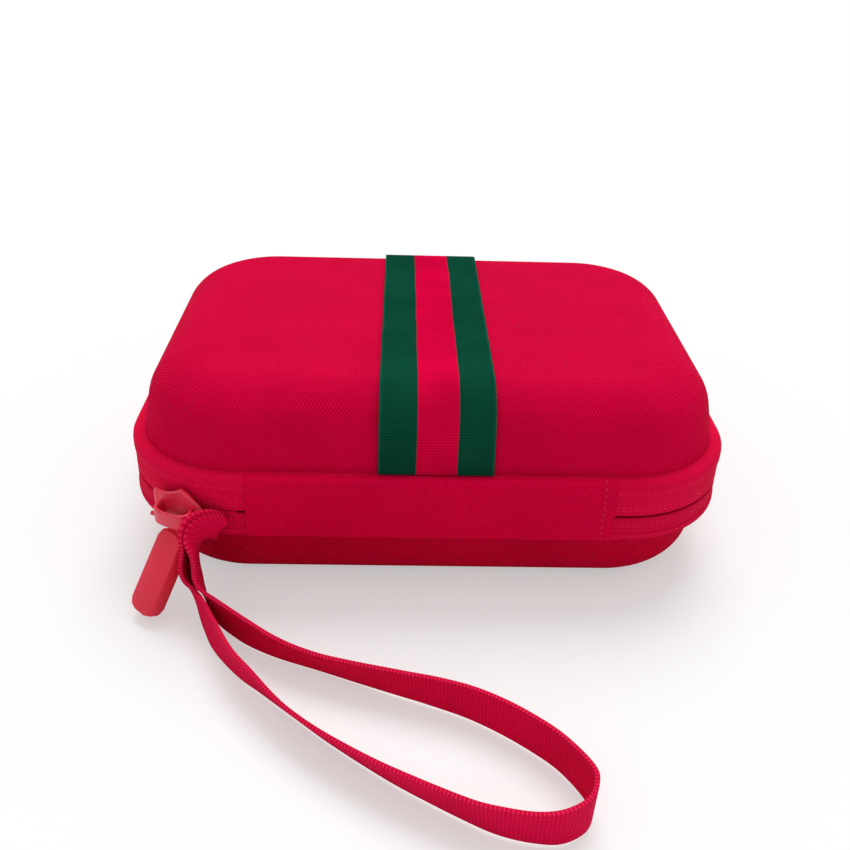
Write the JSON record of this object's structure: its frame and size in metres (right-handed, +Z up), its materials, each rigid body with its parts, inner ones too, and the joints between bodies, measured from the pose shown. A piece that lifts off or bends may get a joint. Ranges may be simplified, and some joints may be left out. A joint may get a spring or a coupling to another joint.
{
  "type": "first aid kit",
  "caption": "Hard-shell zip-round case with rounded corners, a fabric hinge, a ribbon over the lid, a zip slider with a long puller and a wrist strap, packed with first aid supplies.",
  "frame": {"origin": "centre of the flat underside of the base, on the surface that the case stands on", "axes": "+X along the fabric hinge towards the free end of the zip, +Y from the hinge to the opening side, +Z up"},
  "size_m": [0.16, 0.1896, 0.0579],
  "materials": {
    "canvas": "plain woven canvas over moulded foam",
    "lining": "knitted lining",
    "zip_tape": "woven tape",
    "zip_coil": "nylon coil",
    "painted_metal": "satin paint",
    "puller_rubber": "matte moulded",
    "webbing": "ribbed webbing",
    "ribbon": "twill ribbon in green, red and green",
    "net": "open net",
    "elastic": "woven elastic",
    "bandage": "crepe bandage",
    "surgical_tape": "cloth tape",
    "plaster_paper": "paper-wrapped strips",
    "gauze_paper": "paper-wrapped pads",
    "sachet": "foil laminate",
    "steel": "brushed"
  },
  "bodies": {
    "base": {"base_shell": "canvas", "base_lining": "lining", "zip_tape_lower": "zip_tape", "zip_coil_lower": "zip_coil", "zip_stop_left": "painted_metal", "zip_stop_right": "painted_metal", "hinge_spine": "canvas", "hinge_lining": "lining", "strap_tack": "webbing", "wrist_strap": "webbing", "elastic_loop_large": "elastic", "elastic_loop_small": "elastic", "bandage_roll_large": "bandage", "bandage_roll_small": "bandage", "tape_roll": "surgical_tape", "plaster_strips": "plaster_paper", "gauze_pads": "gauze_paper", "tweezers": "steel"},
    "lid": {"lid_shell": "canvas", "lid_lining": "lining", "lid_ribbon": "ribbon", "zip_tape_upper": "zip_tape", "zip_coil_upper": "zip_coil", "mesh_pocket": "net", "pocket_binding": "elastic", "wipe_sachet_1": "sachet", "wipe_sachet_2": "sachet", "wipe_sachet_3": "sachet"},
    "slider": {"slider_body": "painted_metal", "slider_bail": "painted_metal", "puller_pin": "painted_metal"},
    "puller": {"puller": "puller_rubber"}
  },
  "joints": [
    {"name": "lid_hinge", "type": "hinge", "parent": "base", "child": "lid", "pos_m": [0, -0.057, 0.0262], "axis": [1, 0, 0], "range_deg": [0, 110], "deforming": ["hinge_spine", "hinge_lining", "zip_tape_upper", "zip_coil_upper", "wrist_strap"]},
    {"name": "slider_travel", "type": "hinge", "parent": "base", "child": "slider", "pos_m": [-0.05, -0.027, 0.0262], "axis": [0, 0, -1], "range_deg": [0, 62], "deforming": ["wrist_strap"]},
    {"name": "puller_swing", "type": "hinge", "parent": "slider", "child": "puller", "pos_m": [-0.06568, -0.05649, 0.0236], "axis": [-0.8829, 0.4695, 0], "range_deg": [0, 55], "deforming": ["wrist_strap"]}
  ]
}
